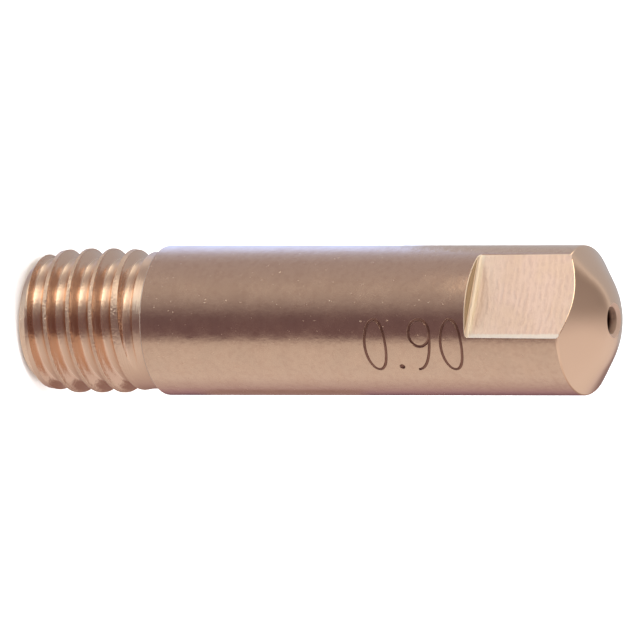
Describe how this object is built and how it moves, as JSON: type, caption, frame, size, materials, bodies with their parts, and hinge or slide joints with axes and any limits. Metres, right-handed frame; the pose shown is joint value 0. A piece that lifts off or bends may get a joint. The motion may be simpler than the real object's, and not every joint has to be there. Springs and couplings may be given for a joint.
{
  "type": "welding contact tip",
  "caption": "Round copper contact tip with a threaded shank, parallel wrench flats, a domed nose and a wire passage along its axis.",
  "frame": {"origin": "centre of the thread end face, on which the tip stands", "axes": "+Z along the axis from the thread end to the nose; the two wrench flats face -Y and +Y"},
  "size_m": [0.006, 0.006, 0.025],
  "materials": {
    "copper_alloy": "satin turned copper alloy, brighter on the thread, with milled flats"
  },
  "bodies": {
    "root": {"contact_tip": "copper_alloy"}
  },
  "joints": []
}
